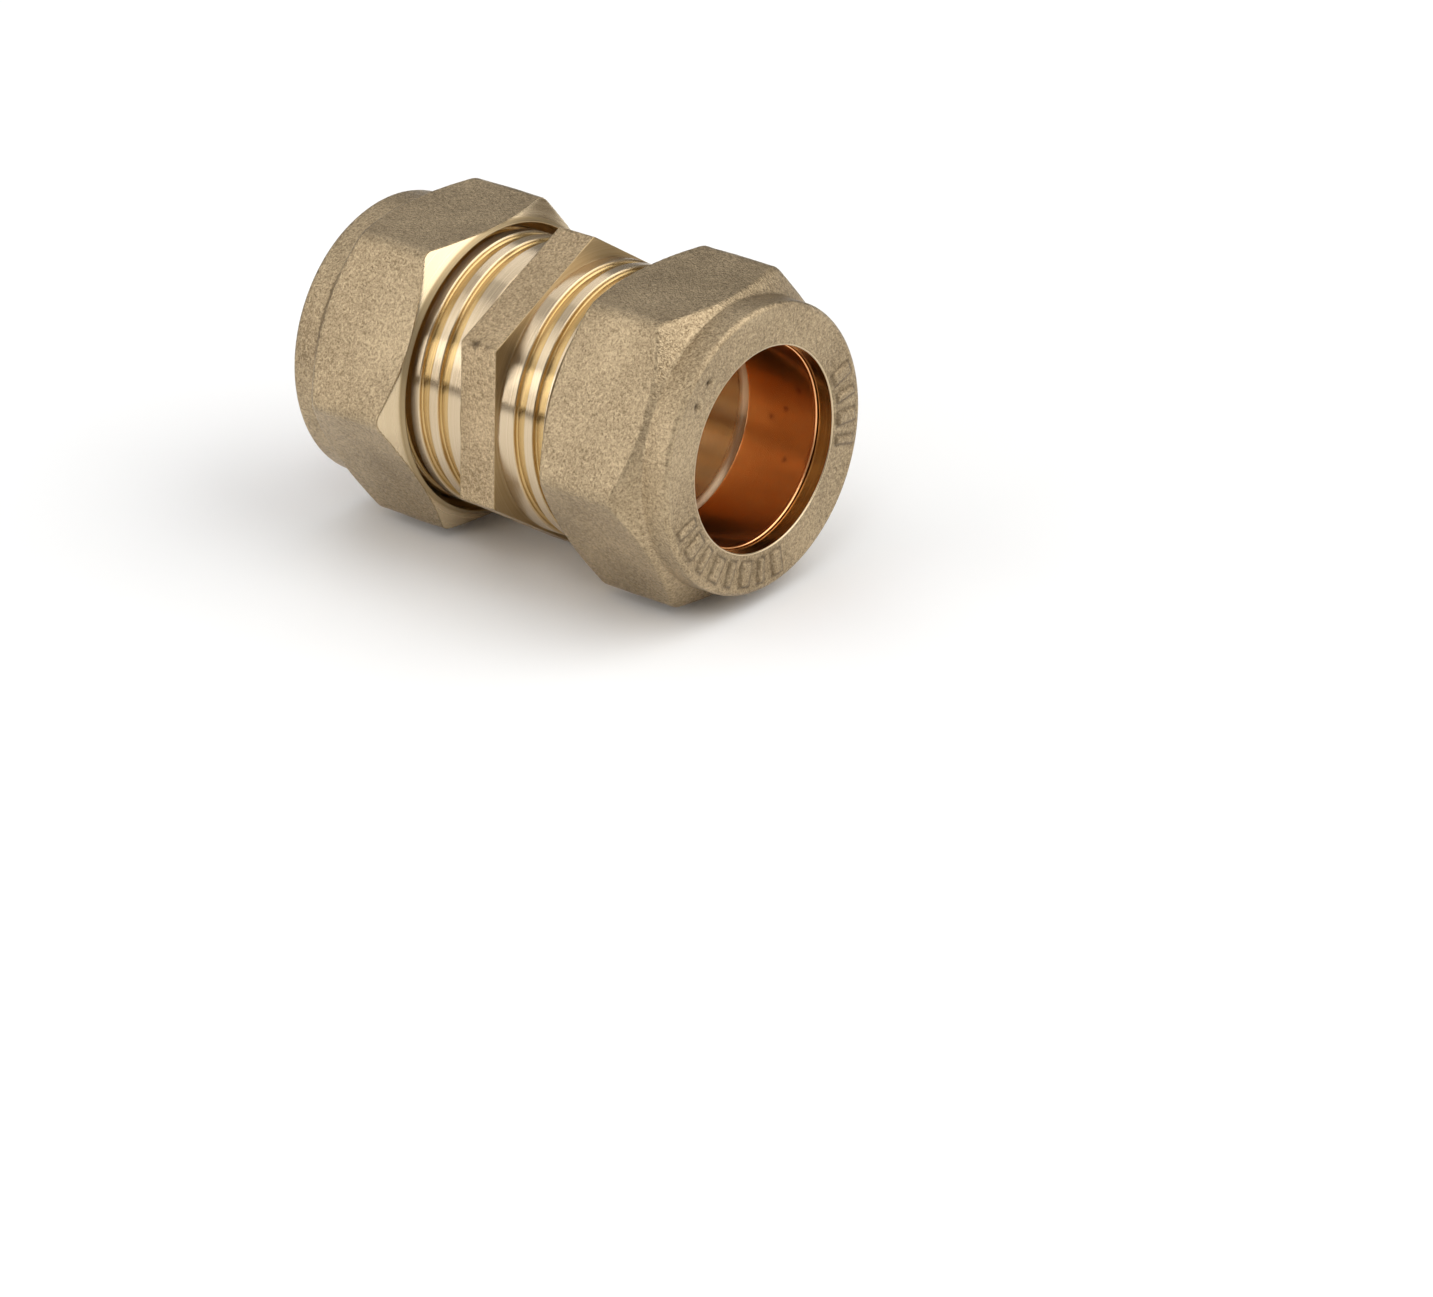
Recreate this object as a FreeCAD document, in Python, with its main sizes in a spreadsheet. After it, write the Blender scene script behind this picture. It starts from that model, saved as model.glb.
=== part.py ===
"""Straight compression coupling for 15 mm pipe: body, two nuts and two olives.

The pipe axis is X, the nuts rest on a flat with +Z up, and the origin is the middle of the
body's hexagon.  All sizes are millimetres and live in the spreadsheet 'sizes'.
"""
import FreeCAD, Part
import os
import re
import Sketcher
from FreeCAD import Placement, Rotation, Vector

DIMENSIONS = {
    # pipe and body
    "socket_bore": 15.1,        # takes 15 mm pipe
    "stop_bore": 13.4,          # narrow middle that stops each pipe
    "stop_width": 2.0,
    "body_length": 21.0,
    "body_flats": 21.1,         # across the flats of the middle hexagon
    "body_hex_width": 3.3,
    "hex_relief_width": 0.2,    # shallow groove that the tool leaves beside the hexagon
    "hex_relief_depth": 0.12,
    "body_hex_turn": 23.8,      # degrees from the nuts' hexagons
    "seat_angle": 30.0,         # half angle of the cone that each olive sits in
    "seat_depth": 0.71,
    # parallel pipe thread, half inch size, with flat crests
    "thread_dia": 20.8,
    "thread_pitch": 1.814,
    "flank_angle": 27.5,
    "groove_width": 1.1,
    "groove_depth": 0.42,
    "groove_start": 2.45,       # where the groove runs out beside the hexagon
    "front_start_turn": 180.0,  # degrees round from the top
    "rear_start_turn": 43.0,
    "thread_clearance": 0.1,    # radial
    "flank_clearance": 0.07,    # axial, on each flank
    "end_chamfer": 0.6,
    # nuts
    "nut_flats": 22.6,
    "nut_corner_radius": 1.3,
    "nut_mouth": 6.65,          # from the middle of the body to the open end, hand tight
    "nut_length": 11.5,
    "nut_bore": 15.42,
    "nut_bore_length": 1.28,
    "nut_seat_dia": 18.4,       # wide end of the 45 degree cone that presses the olive
    "lip_dia": 21.9,            # inside of the open end
    "lip_bevel": 0.3,
    "mouth_recess": 1.0,        # plain length inside the open end
    "mouth_chamfer_slope": 1.6,  # rise over run of the turned chamfer on the hexagon
    "relief_dia": 21.1,         # thread relief at the inner end of the nut's thread
    "relief_width": 1.9,
    "relief_shoulder": 3.55,    # from the outer face to the thread relief
    "collar_dia": 21.9,
    "collar_length": 2.4,       # from the outer face to the hexagon's forged shoulder
    "collar_edge": 0.45,
    "shoulder_slope": 1.45,
    # plain raised marks on the nuts' outer faces
    "mark_height": 0.2,
    "mark_inner": 8.35,
    "mark_outer": 10.15,
    "mark_width": 0.6,
    "wide_mark_width": 0.96,
    "mark_spacing": 11.0,       # degrees
    "size_marks_at": 0.0,       # degrees from +Y, middle of the short row
    "grade_marks_at": 236.0,    # degrees from +Y, middle of the long row
    # olives
    "olive_bore": 15.1,
    "olive_dia": 17.7,
    "olive_end_dia": 15.5,
    "olive_taper": 1.75,
    "olive_inner_end": 10.3,    # from the middle of the body
    "olive_length": 6.48,
}

SIZE_MARKS = 4
GRADE_MARKS = 8
BODY_THREAD_TURNS = 5
NUT_THREAD_TURNS = 4.6
NUT_GROOVE_PITCHES = 1.5        # from the body's groove to the nut's, which takes the body's crest
OVERRUN = 0.1                   # how far a cutting profile stands past the surface that it cuts
MARGIN = 1.0                    # how far a turned cut reaches into empty space
SHOULDER_OVERLAP = 0.5          # how far the hexagon is first made past its shoulder


def make_sheet(doc):
    sheet = doc.addObject("Spreadsheet::Sheet", "sizes")
    for row, (alias, size) in enumerate(DIMENSIONS.items(), start=1):
        sheet.set("A%d" % row, alias)
        sheet.set("B%d" % row, str(size))
        sheet.setAlias("B%d" % row, alias)
    doc.recompute()
    return sheet


def in_sheet(formula):
    """Give each size named in a formula its full path into the spreadsheet."""
    return re.sub(r"[a-z_]+", lambda word: "sizes." * (word[0] in DIMENSIONS) + word[0], formula)


def origin_plane(body, role):
    return next(feature for feature in body.Origin.OriginFeatures if feature.Role == role)


def new_sketch(body, name, role, turn=None, lift=None):
    """A sketch on one of the body's own planes, turned about X or lifted off the plane."""
    sketch = body.newObject("Sketcher::SketchObject", name)
    sketch.AttachmentSupport = [(origin_plane(body, role), "")]
    sketch.MapMode = "FlatFace"
    if turn:
        angle = sketch.evalExpression(in_sheet(turn))
        sketch.AttachmentOffset = Placement(Vector(), Rotation(Vector(1, 0, 0), angle))
        sketch.setExpression("AttachmentOffset.Rotation.Angle", in_sheet(turn))
    if lift:
        sketch.setExpression("AttachmentOffset.Base.z", in_sheet(lift))
    return sketch


def pin_coordinate(sketch, kind, line, formula):
    """Hold the start of a line at a signed distance from the sketch's origin."""
    distance = sketch.evalExpression(in_sheet(formula))
    if abs(distance) < 1e-9:
        axis = -2 if kind == "DistanceX" else -1
        sketch.addConstraint(Sketcher.Constraint("PointOnObject", line, 1, axis))
        return
    if distance > 0:
        index = sketch.addConstraint(Sketcher.Constraint(kind, -1, 1, line, 1, distance))
        sketch.setExpression("Constraints[%d]" % index, in_sheet(formula))
    else:
        index = sketch.addConstraint(Sketcher.Constraint(kind, line, 1, -1, 1, -distance))
        sketch.setExpression("Constraints[%d]" % index, "-1 * (%s)" % in_sheet(formula))


def add_outline(sketch, corners):
    """Draw a closed outline through corners given as pairs of formulas."""
    places = [Vector(sketch.evalExpression(in_sheet(x)), sketch.evalExpression(in_sheet(y)), 0)
              for x, y in corners]
    first = sketch.GeometryCount
    for start, end in zip(places, places[1:] + places[:1]):
        sketch.addGeometry(Part.LineSegment(start, end), False)
    for offset in range(len(corners)):
        following = first + (offset + 1) % len(corners)
        sketch.addConstraint(Sketcher.Constraint("Coincident", first + offset, 2, following, 1))
    for offset, (x, y) in enumerate(corners):
        pin_coordinate(sketch, "DistanceX", first + offset, x)
        pin_coordinate(sketch, "DistanceY", first + offset, y)
    return sketch


def turned(body, name, kind, corners):
    """Turn an outline about the pipe axis; kind is Revolution to add or Groove to cut."""
    sketch = add_outline(new_sketch(body, name + "_outline", "XZ_Plane"), corners)
    feature = body.newObject("PartDesign::" + kind, name)
    feature.Profile = sketch
    feature.ReferenceAxis = (sketch, ["H_Axis"])
    feature.Angle = 360
    return feature


def hexagon_corners(flats, turn="0"):
    reach = "%s / sqrt(3)" % flats
    return [("%s * cos(%d + %s)" % (reach, 60 * side, turn),
             "%s * sin(%d + %s)" % (reach, 60 * side, turn)) for side in range(6)]


def threaded(body, name, turn, corners, turns, reverse):
    """Cut a right-hand helical groove along the pipe axis."""
    sketch = add_outline(new_sketch(body, name + "_outline", "XZ_Plane", turn=turn), corners)
    groove = body.newObject("PartDesign::SubtractiveHelix", name)
    groove.Profile = sketch
    groove.ReferenceAxis = (sketch, ["H_Axis"])
    groove.Mode = "pitch-turns-angle"
    groove.Pitch = DIMENSIONS["thread_pitch"]
    groove.setExpression("Pitch", "sizes.thread_pitch")
    groove.Turns = turns
    groove.LeftHanded = False
    groove.Reversed = reverse
    groove.Refine = False       # merged helical faces can't be cut again cleanly
    return groove


def male_groove(centre):
    """Corners of the groove between two male crests, centred on a place along the axis."""
    half_root = "(groove_width / 2 - groove_depth * tan(flank_angle))"
    half_top = "(groove_width / 2 + %s * tan(flank_angle))" % OVERRUN
    root = "thread_dia / 2 - groove_depth"
    top = "thread_dia / 2 + %s" % OVERRUN
    return [("%s - %s" % (centre, half_root), root), ("%s + %s" % (centre, half_root), root),
            ("%s + %s" % (centre, half_top), top), ("%s - %s" % (centre, half_top), top)]


def female_groove(centre):
    """Corners of the groove between two ridges of the nut's thread."""
    crest = "(thread_pitch - groove_width + 2 * flank_clearance) / 2"
    root = "thread_dia / 2 + thread_clearance"
    bore = "thread_dia / 2 - groove_depth + thread_clearance - %s" % OVERRUN
    half_root = "(%s - thread_clearance * tan(flank_angle))" % crest
    half_bore = "(%s + (groove_depth - thread_clearance + %s) * tan(flank_angle))" % (crest, OVERRUN)
    return [("%s - %s" % (centre, half_bore), bore), ("%s + %s" % (centre, half_bore), bore),
            ("%s + %s" % (centre, half_root), root), ("%s - %s" % (centre, half_root), root)]


def build_body(doc):
    body = doc.addObject("PartDesign::Body", "coupling_body")
    body.Label = "coupling_body"
    end = "body_length / 2"
    radius = "thread_dia / 2"
    turned(body, "threaded_bar", "Revolution", [
        ("-1 * %s" % end, "0"), (end, "0"), (end, "%s - end_chamfer" % radius),
        ("%s - end_chamfer" % end, radius), ("-1 * %s + end_chamfer" % end, radius),
        ("-1 * %s" % end, "%s - end_chamfer" % radius)])
    hexagon = new_sketch(body, "hexagon_outline", "YZ_Plane")
    add_outline(hexagon, hexagon_corners("body_flats", "body_hex_turn"))
    pad = body.newObject("PartDesign::Pad", "hexagon")
    pad.Profile = hexagon
    pad.SideType = "Symmetric"
    pad.setExpression("Length", "sizes.body_hex_width")
    near = "body_hex_width / 2"
    far = "(body_hex_width / 2 + hex_relief_width)"
    for side, sign in (("front", 1), ("rear", -1)):
        turned(body, side + "_hexagon_relief", "Groove", [
            ("%d * %s" % (sign, near), "%s - hex_relief_depth" % radius),
            ("%d * %s" % (sign, far), "%s - hex_relief_depth" % radius),
            ("%d * %s" % (sign, far), "%s + %s" % (radius, OVERRUN)),
            ("%d * %s" % (sign, near), "%s + %s" % (radius, OVERRUN))])
    doc.recompute()
    threaded(body, "front_thread", "front_start_turn", male_groove("groove_start"),
             BODY_THREAD_TURNS, False)
    threaded(body, "rear_thread", "-1 * rear_start_turn", male_groove("-1 * groove_start"),
             BODY_THREAD_TURNS, True)
    stop = "stop_width / 2"
    socket = "socket_bore / 2"
    mouth = "socket_bore / 2 + (seat_depth + %s) * tan(seat_angle)" % OVERRUN
    outer = "%s + %s" % (end, OVERRUN)
    seat = "%s - seat_depth" % end
    turned(body, "bore", "Groove", [
        ("-1 * (%s)" % outer, "0"), (outer, "0"), (outer, mouth), (seat, socket), (stop, socket),
        (stop, "stop_bore / 2"), ("-1 * %s" % stop, "stop_bore / 2"), ("-1 * %s" % stop, socket),
        ("-1 * (%s)" % seat, socket), ("-1 * (%s)" % outer, mouth)])
    return body


def mark_bar(sketch, degrees, width):
    """Outline of one bar that lies along a radius of the nut's outer face."""
    corners = []
    for reach, side in (("mark_inner", -1), ("mark_outer", -1), ("mark_outer", 1), ("mark_inner", 1)):
        across = "%d * %s / 2" % (side, width)
        corners.append(("%s * cos(%s) - %s * sin(%s)" % (reach, degrees, across, degrees),
                        "%s * sin(%s) + %s * cos(%s)" % (reach, degrees, across, degrees)))
    add_outline(sketch, corners)


def raise_marks(nut, name, face):
    """Two rows of plain raised bars on the outer face, every other bar of the long row thin."""
    sketch = new_sketch(nut, name + "_mark_outlines", "YZ_Plane", lift=face)
    for count, middle in ((SIZE_MARKS, "size_marks_at"), (GRADE_MARKS, "grade_marks_at")):
        for number in range(count):
            degrees = "%s + %s * mark_spacing" % (middle, number - (count - 1) / 2)
            mark_bar(sketch, degrees, "mark_width" if number % 2 else "wide_mark_width")
    marks = nut.newObject("PartDesign::Pad", name + "_marks")
    marks.Profile = sketch
    marks.setExpression("Length", "sizes.mark_height")


def build_nut(doc, name, start_turn, placement):
    nut = doc.addObject("PartDesign::Body", name)
    nut.Label = name
    face = "(nut_mouth + nut_length)"
    shoulder = "(%s - collar_length)" % face
    collar = "collar_dia / 2"

    hexagon = new_sketch(nut, name + "_hexagon_outline", "YZ_Plane", lift="nut_mouth")
    add_outline(hexagon, hexagon_corners("nut_flats"))
    pad = nut.newObject("PartDesign::Pad", name + "_hexagon")
    pad.Profile = hexagon
    pad.setExpression("Length", in_sheet("nut_length - collar_length + %s" % SHOULDER_OVERLAP))
    doc.recompute()
    long_edges = ["Edge%d" % number for number, edge in enumerate(pad.Shape.Edges, start=1)
                  if edge.BoundBox.XLength > DIMENSIONS["collar_length"]]
    rounding = nut.newObject("PartDesign::Fillet", name + "_hexagon_corners")
    rounding.Base = (pad, long_edges)
    rounding.setExpression("Radius", "sizes.nut_corner_radius")

    corner = "nut_flats / sqrt(3) + %s" % MARGIN
    lip = "lip_dia / 2"
    bevel = "nut_mouth + lip_bevel"
    before_mouth = "nut_mouth - %s" % MARGIN
    past_shoulder = "%s + %s" % (shoulder, MARGIN)
    before_shoulder = "%s - %s" % (shoulder, MARGIN)
    turned(nut, name + "_mouth_chamfer", "Groove", [
        (before_mouth, lip), ("nut_mouth", lip), (bevel, "%s + lip_bevel" % lip),
        ("%s + (%s - %s - lip_bevel) / mouth_chamfer_slope" % (bevel, corner, lip), corner),
        (before_mouth, corner)])
    turned(nut, name + "_shoulder", "Groove", [
        (past_shoulder, collar), (shoulder, collar),
        ("%s - (%s - %s) / shoulder_slope" % (shoulder, corner, collar), corner),
        (past_shoulder, corner)])
    turned(nut, name + "_collar", "Revolution", [
        (before_shoulder, "0"), (face, "0"), (face, "%s - collar_edge" % collar),
        ("%s - collar_edge" % face, collar), (before_shoulder, collar)])
    raise_marks(nut, name, face)

    minor = "thread_dia / 2 - groove_depth + thread_clearance"
    relief = "relief_dia / 2"
    recess_end = "nut_mouth + mouth_recess"
    thread_begins = "%s + (%s - (%s))" % (recess_end, lip, minor)
    past_face = "%s + %s" % (face, MARGIN)
    bore_end = "%s - nut_bore_length" % face
    seat_end = "%s - (nut_seat_dia - nut_bore) / 2" % bore_end
    relief_end = "%s - relief_shoulder" % face
    turned(nut, name + "_bore", "Groove", [
        (before_mouth, "0"), (past_face, "0"), (past_face, "nut_bore / 2"),
        (bore_end, "nut_bore / 2"), (seat_end, "nut_seat_dia / 2"), (relief_end, "nut_seat_dia / 2"),
        (relief_end, relief), ("%s - relief_width" % relief_end, relief),
        ("%s - relief_width" % relief_end, minor), (thread_begins, minor), (recess_end, lip),
        (before_mouth, lip)])
    groove = female_groove("(groove_start + %s * thread_pitch)" % NUT_GROOVE_PITCHES)
    threaded(nut, name + "_thread", start_turn, groove, NUT_THREAD_TURNS, False)
    nut.Placement = placement
    return nut


def build_olive(doc, name, placement):
    olive = doc.addObject("PartDesign::Body", name)
    olive.Label = name
    near = "olive_inner_end"
    far = "(olive_inner_end + olive_length)"
    turned(olive, name + "_ring", "Revolution", [
        (near, "olive_bore / 2"), (far, "olive_bore / 2"), (far, "olive_end_dia / 2"),
        ("%s - olive_taper" % far, "olive_dia / 2"), ("%s + olive_taper" % near, "olive_dia / 2"),
        (near, "olive_end_dia / 2")])
    olive.Placement = placement
    return olive


def check_and_write(doc, pieces):
    for item in doc.Objects:
        if "Invalid" in item.State or "Error" in item.State:
            raise RuntimeError("%s did not compute: %s" % (item.Label, item.State))
    os.makedirs("parts", exist_ok=True)
    for piece in pieces:
        shape = piece.Shape
        if shape.isNull() or not shape.isValid() or len(shape.Solids) != 1:
            raise RuntimeError("%s is not one valid solid" % piece.Label)
        shape.exportStep("parts/%s.step" % piece.Label)
        box = shape.BoundBox
        print("%-14s volume %8.1f  x %.2f..%.2f  y %.2f..%.2f  z %.2f..%.2f" % (
            piece.Label, shape.Volume, box.XMin, box.XMax, box.YMin, box.YMax, box.ZMin, box.ZMax))


def main():
    doc = FreeCAD.newDocument("compression_coupling")
    make_sheet(doc)
    front = Placement()
    rear = Placement(Vector(), Rotation(Vector(0, 0, 1), 180))
    pieces = [
        build_body(doc),
        build_nut(doc, "front_nut", "front_start_turn", front),
        build_nut(doc, "rear_nut", "rear_start_turn", rear),
        build_olive(doc, "front_olive", front),
        build_olive(doc, "rear_olive", rear),
    ]
    doc.recompute()
    check_and_write(doc, pieces)


main()
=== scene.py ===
import math

import bpy
import numpy as np
from mathutils import Matrix, Vector


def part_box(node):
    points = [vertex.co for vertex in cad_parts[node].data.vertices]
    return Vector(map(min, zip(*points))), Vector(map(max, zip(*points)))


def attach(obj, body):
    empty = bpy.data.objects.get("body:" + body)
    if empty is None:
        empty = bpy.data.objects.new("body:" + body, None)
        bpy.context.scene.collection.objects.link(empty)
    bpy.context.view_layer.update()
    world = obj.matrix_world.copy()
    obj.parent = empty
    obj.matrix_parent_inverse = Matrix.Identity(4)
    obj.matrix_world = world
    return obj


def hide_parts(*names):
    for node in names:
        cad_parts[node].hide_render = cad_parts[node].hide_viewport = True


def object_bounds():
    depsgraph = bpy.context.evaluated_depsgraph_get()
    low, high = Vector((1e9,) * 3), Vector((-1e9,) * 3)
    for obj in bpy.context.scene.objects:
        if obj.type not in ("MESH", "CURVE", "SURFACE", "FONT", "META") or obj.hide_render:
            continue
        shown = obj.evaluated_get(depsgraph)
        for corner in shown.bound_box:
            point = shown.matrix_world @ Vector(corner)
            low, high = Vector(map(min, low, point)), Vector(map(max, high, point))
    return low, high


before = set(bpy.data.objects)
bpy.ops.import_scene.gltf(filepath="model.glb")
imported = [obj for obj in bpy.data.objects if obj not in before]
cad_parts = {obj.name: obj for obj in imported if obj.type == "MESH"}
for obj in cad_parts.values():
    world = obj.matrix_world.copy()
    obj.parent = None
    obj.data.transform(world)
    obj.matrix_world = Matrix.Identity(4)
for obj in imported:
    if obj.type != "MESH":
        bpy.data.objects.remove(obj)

# Lengths are millimetres until a mesh, light or camera is made, and MM turns them into metres.
# u runs along the pipe axis, phi round it: 0 towards the viewer's side (-Y), 90 degrees up.
MM = 0.001
TAU = 2 * math.pi

cad_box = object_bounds()
nut_low, nut_high = (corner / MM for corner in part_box("front_nut"))
_, body_high = (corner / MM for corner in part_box("coupling_body"))
olive_low, olive_high = (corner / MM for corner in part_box("front_olive"))

# Half inch pipe thread with flat crests, and the clearances between male and female
PITCH = 1.814
FLANK = math.tan(math.radians(27.5))
CREST_RADIUS = 10.4
GROOVE_WIDTH = 1.1
GROOVE_DEPTH = 0.42
GROOVE_START = 2.45
ROOT_HALF_WIDTH = 0.44
THREAD_CLEARANCE = 0.1
FLANK_CLEARANCE = 0.07
NUT_MINOR_RADIUS = CREST_RADIUS - GROOVE_DEPTH + THREAD_CLEARANCE
START_TURN = {"front": 270.0, "rear": 47.0}     # phi where the groove runs out, facing that end
RUN_OUT = 0.12                                  # turns over which it runs out

# Nut
MARK_HEIGHT = 0.2
NUT_MOUTH = nut_low.x
NUT_FACE = nut_high.x - MARK_HEIGHT
NUT_APOTHEM = nut_high.z
NUT_CORNER_RADIUS = 1.3
LIP_RADIUS = 10.95
LIP_BEVEL = 0.3
MOUTH_RECESS = 1.0
MOUTH_SLOPE = 1.6
COLLAR_RADIUS = 10.95
COLLAR_EDGE = 0.45
COLLAR_LENGTH = 2.4
SHOULDER_SLOPE = 1.45
SHOULDER_BLEND, COLLAR_BLEND = 0.35, 0.3        # how softly the forged surfaces meet
COLLAR_FREE = 0.5                               # mm past the shoulder where the collar runs alone
CHAMFER_BLEND, HEX_BULGE = 0.05, 0.02
NUT_INSET, NUT_WAVE, NUT_RIPPLE = 0.04, 0.03, 0.008     # the forged flats lie inside the design's
COLLAR_INSET, COLLAR_WAVE = 0.03, 0.02
FACE_INSET, FACE_WAVE, FACE_MARGIN = 0.02, 0.02, 0.15
NUT_BORE = 7.71
BORE_EDGE = 0.06
NUT_BORE_LENGTH = 1.28
NUT_SEAT_RADIUS = 9.2
NUT_RELIEF_RADIUS = 10.55
RELIEF_SHOULDER = 3.55
RELIEF_WIDTH = 1.9
THREAD_GAP = 0.05                               # between the relief's end and the first thread column
MARK_INNER, MARK_OUTER = 8.35, 10.15
MARK_WIDTH, WIDE_MARK = 0.6, 1.6                # every other bar is this much wider
MARK_EDGE = 0.08
MARK_SLOPE_IN, MARK_SLOPE_OUT = 0.12, 0.06      # mm to either side of a bar's long edge
MARK_RISE = 0.95                                # share of the height that a bar reaches
MARK_SHADE_AWAY, MARK_SHADE_WIDTH = 0.07, 0.13    # painted shade lies along the outline of a bar
MARK_SPACING = 11.0
MARK_ROWS = ((4, 180.0), (8, -56.0))            # how many bars, and phi of the row's middle
PITS = ((53.0, 9.3), (41.0, 9.3))               # phi and radius of two small dents
# how deep a pit is, its reach, and the reach of the painted shade in it
PIT_DEPTH, PIT_RADIUS, PIT_SHADE_RADIUS = 0.2, 0.26, 0.24

# Body
BODY_END = body_high.x
HEX_HALF_WIDTH = 1.65
HEX_APOTHEM = 10.55
HEX_RELIEF_WIDTH = 0.2
HEX_RELIEF_DEPTH = 0.12
HEX_EDGE, RELIEF_EDGE, BARREL_EDGE = 0.06, 0.03, 0.04
HEX_TURN = 6.2                                  # phi of the flat that faces the viewer
HEX_CORNER_RADIUS = 0.2
HEX_INSET, HEX_WAVE = 0.015, 0.015
END_CHAMFER = 0.6
SOCKET_RADIUS = 7.55
STOP_RADIUS = 6.7
STOP_HALF_WIDTH = 1.0
SEAT_DEPTH = 0.71
SEAT_SLOPE = math.tan(math.radians(30))
DENT = (36.8, -0.7)                             # phi and u of a small dent on the hexagon's corner
DENT_DEPTH, NICK_DEPTH = 0.3, 0.12
NICK_AWAY = 1.3                                 # along the axis, from the dent to the nick beside it

# Olive
OLIVE_BORE = 7.55
OLIVE_TIP = 7.75
OLIVE_TAPER = 1.75
OLIVE_EDGE = 0.05
STAINS = ((186, 13.9), (193, 12.6), (172, 15.2), (214, 14.6), (60, 13.2), (310, 15.0))   # phi and u
STAIN_RADIUS = 0.2

# Mesh fineness: points round a ring, mm between points along an outline, and columns across a part
NUT_STEPS = 480
BODY_STEPS = 480
OLIVE_STEPS = 256
FINE = 0.1
NUT_INSIDE_STEP, NUT_THREAD_STEP, NUT_LIP_STEP = 0.16, 0.13, 0.15
BODY_RIM_STEP, BODY_SOCKET_STEP = 0.18, 0.35
OLIVE_STEP, OLIVE_SOFTEN = 0.15, 0.5
EDGE_COLUMNS = 8
WALL_COLUMNS = 14
FLAT_COLUMNS = 30
WAVES = 14                                      # how many waves make up a random surface
EDGE_COLUMN = 0.025                             # mm from a groove's edge to the next column
ROOT_COLUMNS = (0.08, 0.25)                     # mm from a groove's middle to columns in its root
CREST_COLUMN = 0.73                             # and to one on the crest beside it
WELD_REACH = 1e-7                               # metres
WELD_SHIFT = 0.3127                             # keeps round coordinates off the cells' borders

# Marks carried by the surface for the materials, mostly from 0 to 1
EDGE_REACH = 0.3                                # 'turned' is mm past the cut's edge, - on forged skin
# painted reflection in the nut's hollow and the body's socket: cut metal painted deeper and darker,
# standing in for light bounced between brass faces
BORE_PAINTED_BOUNCE, SOCKET_PAINTED_BOUNCE = 0.6, 0.4
# painted reflection and painted shade on the nut's lip bevel
BEVEL_PAINTED_BOUNCE, BEVEL_SHADE = 0.4, 0.7
# painted reflection and painted shade on the hexagon's walls
WALL_PAINTED_BOUNCE, WALL_SHADE = 0.7, 0.4
GROOVE_BOUNCE_RISE = 0.3                          # share of the groove's depth where the painted reflection is full
# how strong the painted shade is in the face's pits and in the hexagon's dent and nick
PIT_SHADE, DENT_SHADE, NICK_SHADE = 1.6, 1.2, 0.8


# ---------------------------------------------------------------- shaping helpers

def smooth_min(a, b, width):
    share = np.clip(0.5 + 0.5 * (b - a) / width, 0, 1)
    return b * (1 - share) + a * share - width * share * (1 - share)


def smooth_max(a, b, width):
    return -smooth_min(-a, -b, width)


def smooth_step(low, high, value):
    share = np.clip((value - low) / (high - low), 0, 1)
    return share * share * (3 - 2 * share)


def bump_at(value, middle, half_width):
    """1 in the middle, falling smoothly to 0."""
    return np.exp(-((value - middle) / half_width) ** 2)


def path(points, step=FINE, soften=0.0):
    """Points along straight runs, no further apart than step, with its corners softened."""
    stations = [np.array(points[0], float)]
    for start, end in zip(points, points[1:]):
        start, end = np.array(start, float), np.array(end, float)
        count = max(1, math.ceil(np.linalg.norm(end - start) / step))
        stations += [start + (end - start) * k / count for k in range(1, count + 1)]
    stations = np.array(stations)
    if soften:
        for _ in range(2):
            middle = stations[1:-1]
            stations[1:-1] = middle + soften * (stations[:-2] + stations[2:] - 2 * middle) / 2
    return stations


def hexagon_radius(phi, apothem, corner_radius, turn):
    """Radius of a hexagon with rounded corners, whose flat faces phi = turn."""
    off_flat = np.abs((phi - turn + 30) % 60 - 30)
    flat = apothem / np.cos(np.radians(off_flat))
    off_corner = np.radians(30 - off_flat)
    centre = (apothem - corner_radius) / math.cos(math.radians(30))
    inside = np.maximum(corner_radius ** 2 - (centre * np.sin(off_corner)) ** 2, 0)
    rounded = centre * np.cos(off_corner) + np.sqrt(inside)
    on_arc = centre * np.sin(off_corner) < corner_radius / 2
    return np.where(on_arc, np.minimum(rounded, flat), flat)


def wander(phi, u, seed, length):
    """A smooth random surface, from -1 to 1, with hills of about the given length in mm."""
    random = np.random.RandomState(seed)
    total = np.zeros(np.broadcast(phi, u).shape)
    around = np.radians(phi)
    most = int(70 / length)
    for _ in range(WAVES):
        waves = random.randint(-most, most + 1)
        along = random.uniform(-TAU, TAU) / length
        total += np.cos(waves * around + along * u + random.uniform(0, TAU))
    return np.tanh(total / 4)


def groove_share(phi, u, start_turn, groove_start, half_root, half_top):
    """How deep in a right-hand helical groove each point is, 0 to 1, and its turns from the start."""
    wound = ((start_turn - phi) % 360) / 360
    turns = (u - groove_start) / PITCH - wound
    number = np.round(turns)
    off_centre = np.abs(turns - number) * PITCH
    share = np.clip((half_top - off_centre) / (half_top - half_root), 0, 1)
    return share, number + wound


# ---------------------------------------------------------------- mesh building

def at_places(u, radius, phi):
    """Points in metres, one row for each."""
    angle = np.radians(phi)
    return np.stack([u, -radius * np.cos(angle), radius * np.sin(angle)], axis=-1).reshape(-1, 3) * MM


def ring_quads(rows, columns):
    """Quads of a closed ring: rows go round it, and the columns follow its closed outline."""
    index = np.arange(rows * columns).reshape(rows, columns)
    along = np.roll(index, -1, axis=1)
    around = np.roll(index, -1, axis=0)
    return np.stack([index, along, np.roll(around, -1, axis=1), around], axis=-1)


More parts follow.
